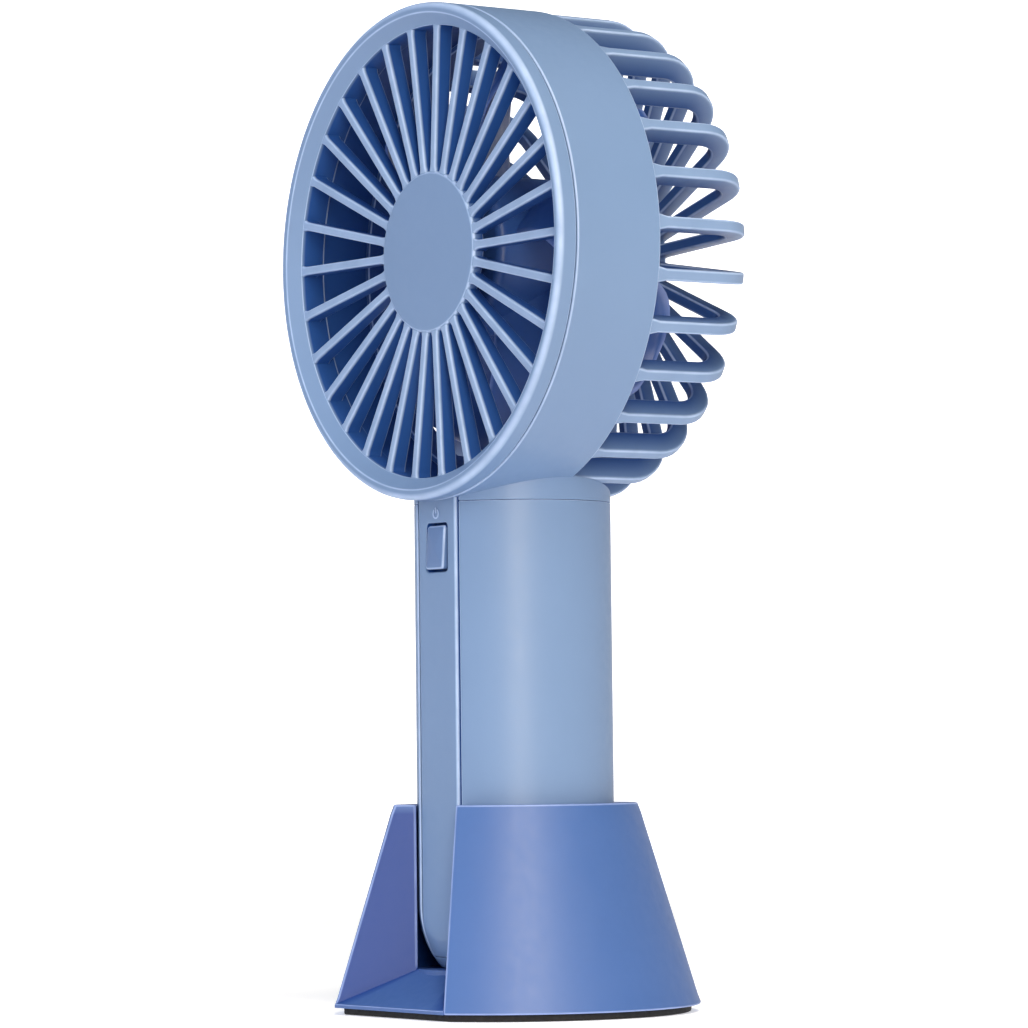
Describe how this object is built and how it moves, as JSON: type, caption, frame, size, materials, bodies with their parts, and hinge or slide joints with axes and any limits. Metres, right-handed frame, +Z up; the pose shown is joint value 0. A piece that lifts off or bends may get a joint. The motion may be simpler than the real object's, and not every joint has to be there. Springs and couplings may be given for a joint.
{
  "type": "handheld fan",
  "caption": "Handheld electric fan with a round barred head, a cylindrical handle with a push button, and a cone shaped desk dock it lifts out of.",
  "frame": {"origin": "middle of the dock's underside, on the handle's axis, where the rubber pad rests on the table", "axes": "+Z up along the handle's axis, -Y the way the fan blows, +X to the right of someone facing the grille"},
  "size_m": [0.105, 0.0719, 0.2132],
  "materials": {
    "head_plastic": "satin moulded plastic, light grey blue",
    "dock_plastic": "satin moulded plastic, medium blue",
    "blade_plastic": "satin moulded plastic, medium blue",
    "rubber": "matte black rubber with a fine grain",
    "motor_steel": "zinc plated drawn steel",
    "shaft_steel": "ground steel",
    "magnet": "dark ferrite",
    "lamination": "stacked electrical steel",
    "copper": "bare and enamelled copper",
    "bronze": "oiled sintered bronze",
    "screw_steel": "zinc plated",
    "motor_plastic": "off white moulded plastic",
    "board": "green solder mask on glass fibre board",
    "component": "black moulded component",
    "port_steel": "plated steel shell",
    "lens": "clear diffusing lens",
    "cell_wrap": null,
    "nickel": "nickel strip",
    "cradle_plastic": "off white moulded plastic",
    "wire_red": "red soft insulation",
    "wire_black": "black soft insulation"
  },
  "bodies": {
    "dock": {"dock_body": "dock_plastic", "dock_base_plate": "component", "dock_screws": "screw_steel", "rubber_pad": "rubber"},
    "fan": {"drum_housing": "head_plastic", "rear_guard": "head_plastic", "rear_hub_cap": "head_plastic", "motor_can": "motor_steel", "motor_magnets": "magnet", "motor_end_cap": "motor_plastic", "motor_brushes": "copper", "front_bearing": "bronze", "rear_bearing": "bronze", "motor_screws": "screw_steel", "red_motor_lead": "wire_red", "black_motor_lead": "wire_black", "handle_shell": "head_plastic", "front_strip": "head_plastic", "tact_switch": "component", "control_board": "board", "board_components": "component", "charging_port": "port_steel", "indicator_light": "lens", "battery_cell": "cell_wrap", "battery_cradle": "cradle_plastic", "battery_tabs": "nickel", "red_battery_lead": "wire_red", "black_battery_lead": "wire_black", "shell_screws": "screw_steel"},
    "rotor": {"fan_blades": "blade_plastic", "motor_shaft": "shaft_steel", "motor_armature": "lamination", "motor_windings": "copper", "motor_commutator": "copper"},
    "button": {"speed_button": "head_plastic", "switch_plunger": "component"},
    "cover": {"front_grille": "head_plastic"}
  },
  "joints": [
    {"name": "fan_lift", "type": "slide", "parent": "dock", "child": "fan", "axis": [0, 0, 1], "range_m": [0, 0.06]},
    {"name": "rotor_spin", "type": "hinge", "parent": "fan", "child": "rotor", "pos_m": [0, 0, 0.1607], "axis": [0, 1, 0], "continuous": true},
    {"name": "button_press", "type": "slide", "parent": "fan", "child": "button", "axis": [0, 1, 0], "range_m": [0, 0.0006], "stiffness_N_per_m": 800, "springref_m": -0.0005},
    {"name": "cover_pull", "type": "slide", "parent": "fan", "child": "cover", "axis": [0, -1, 0], "range_m": [0, 0.03]}
  ]
}
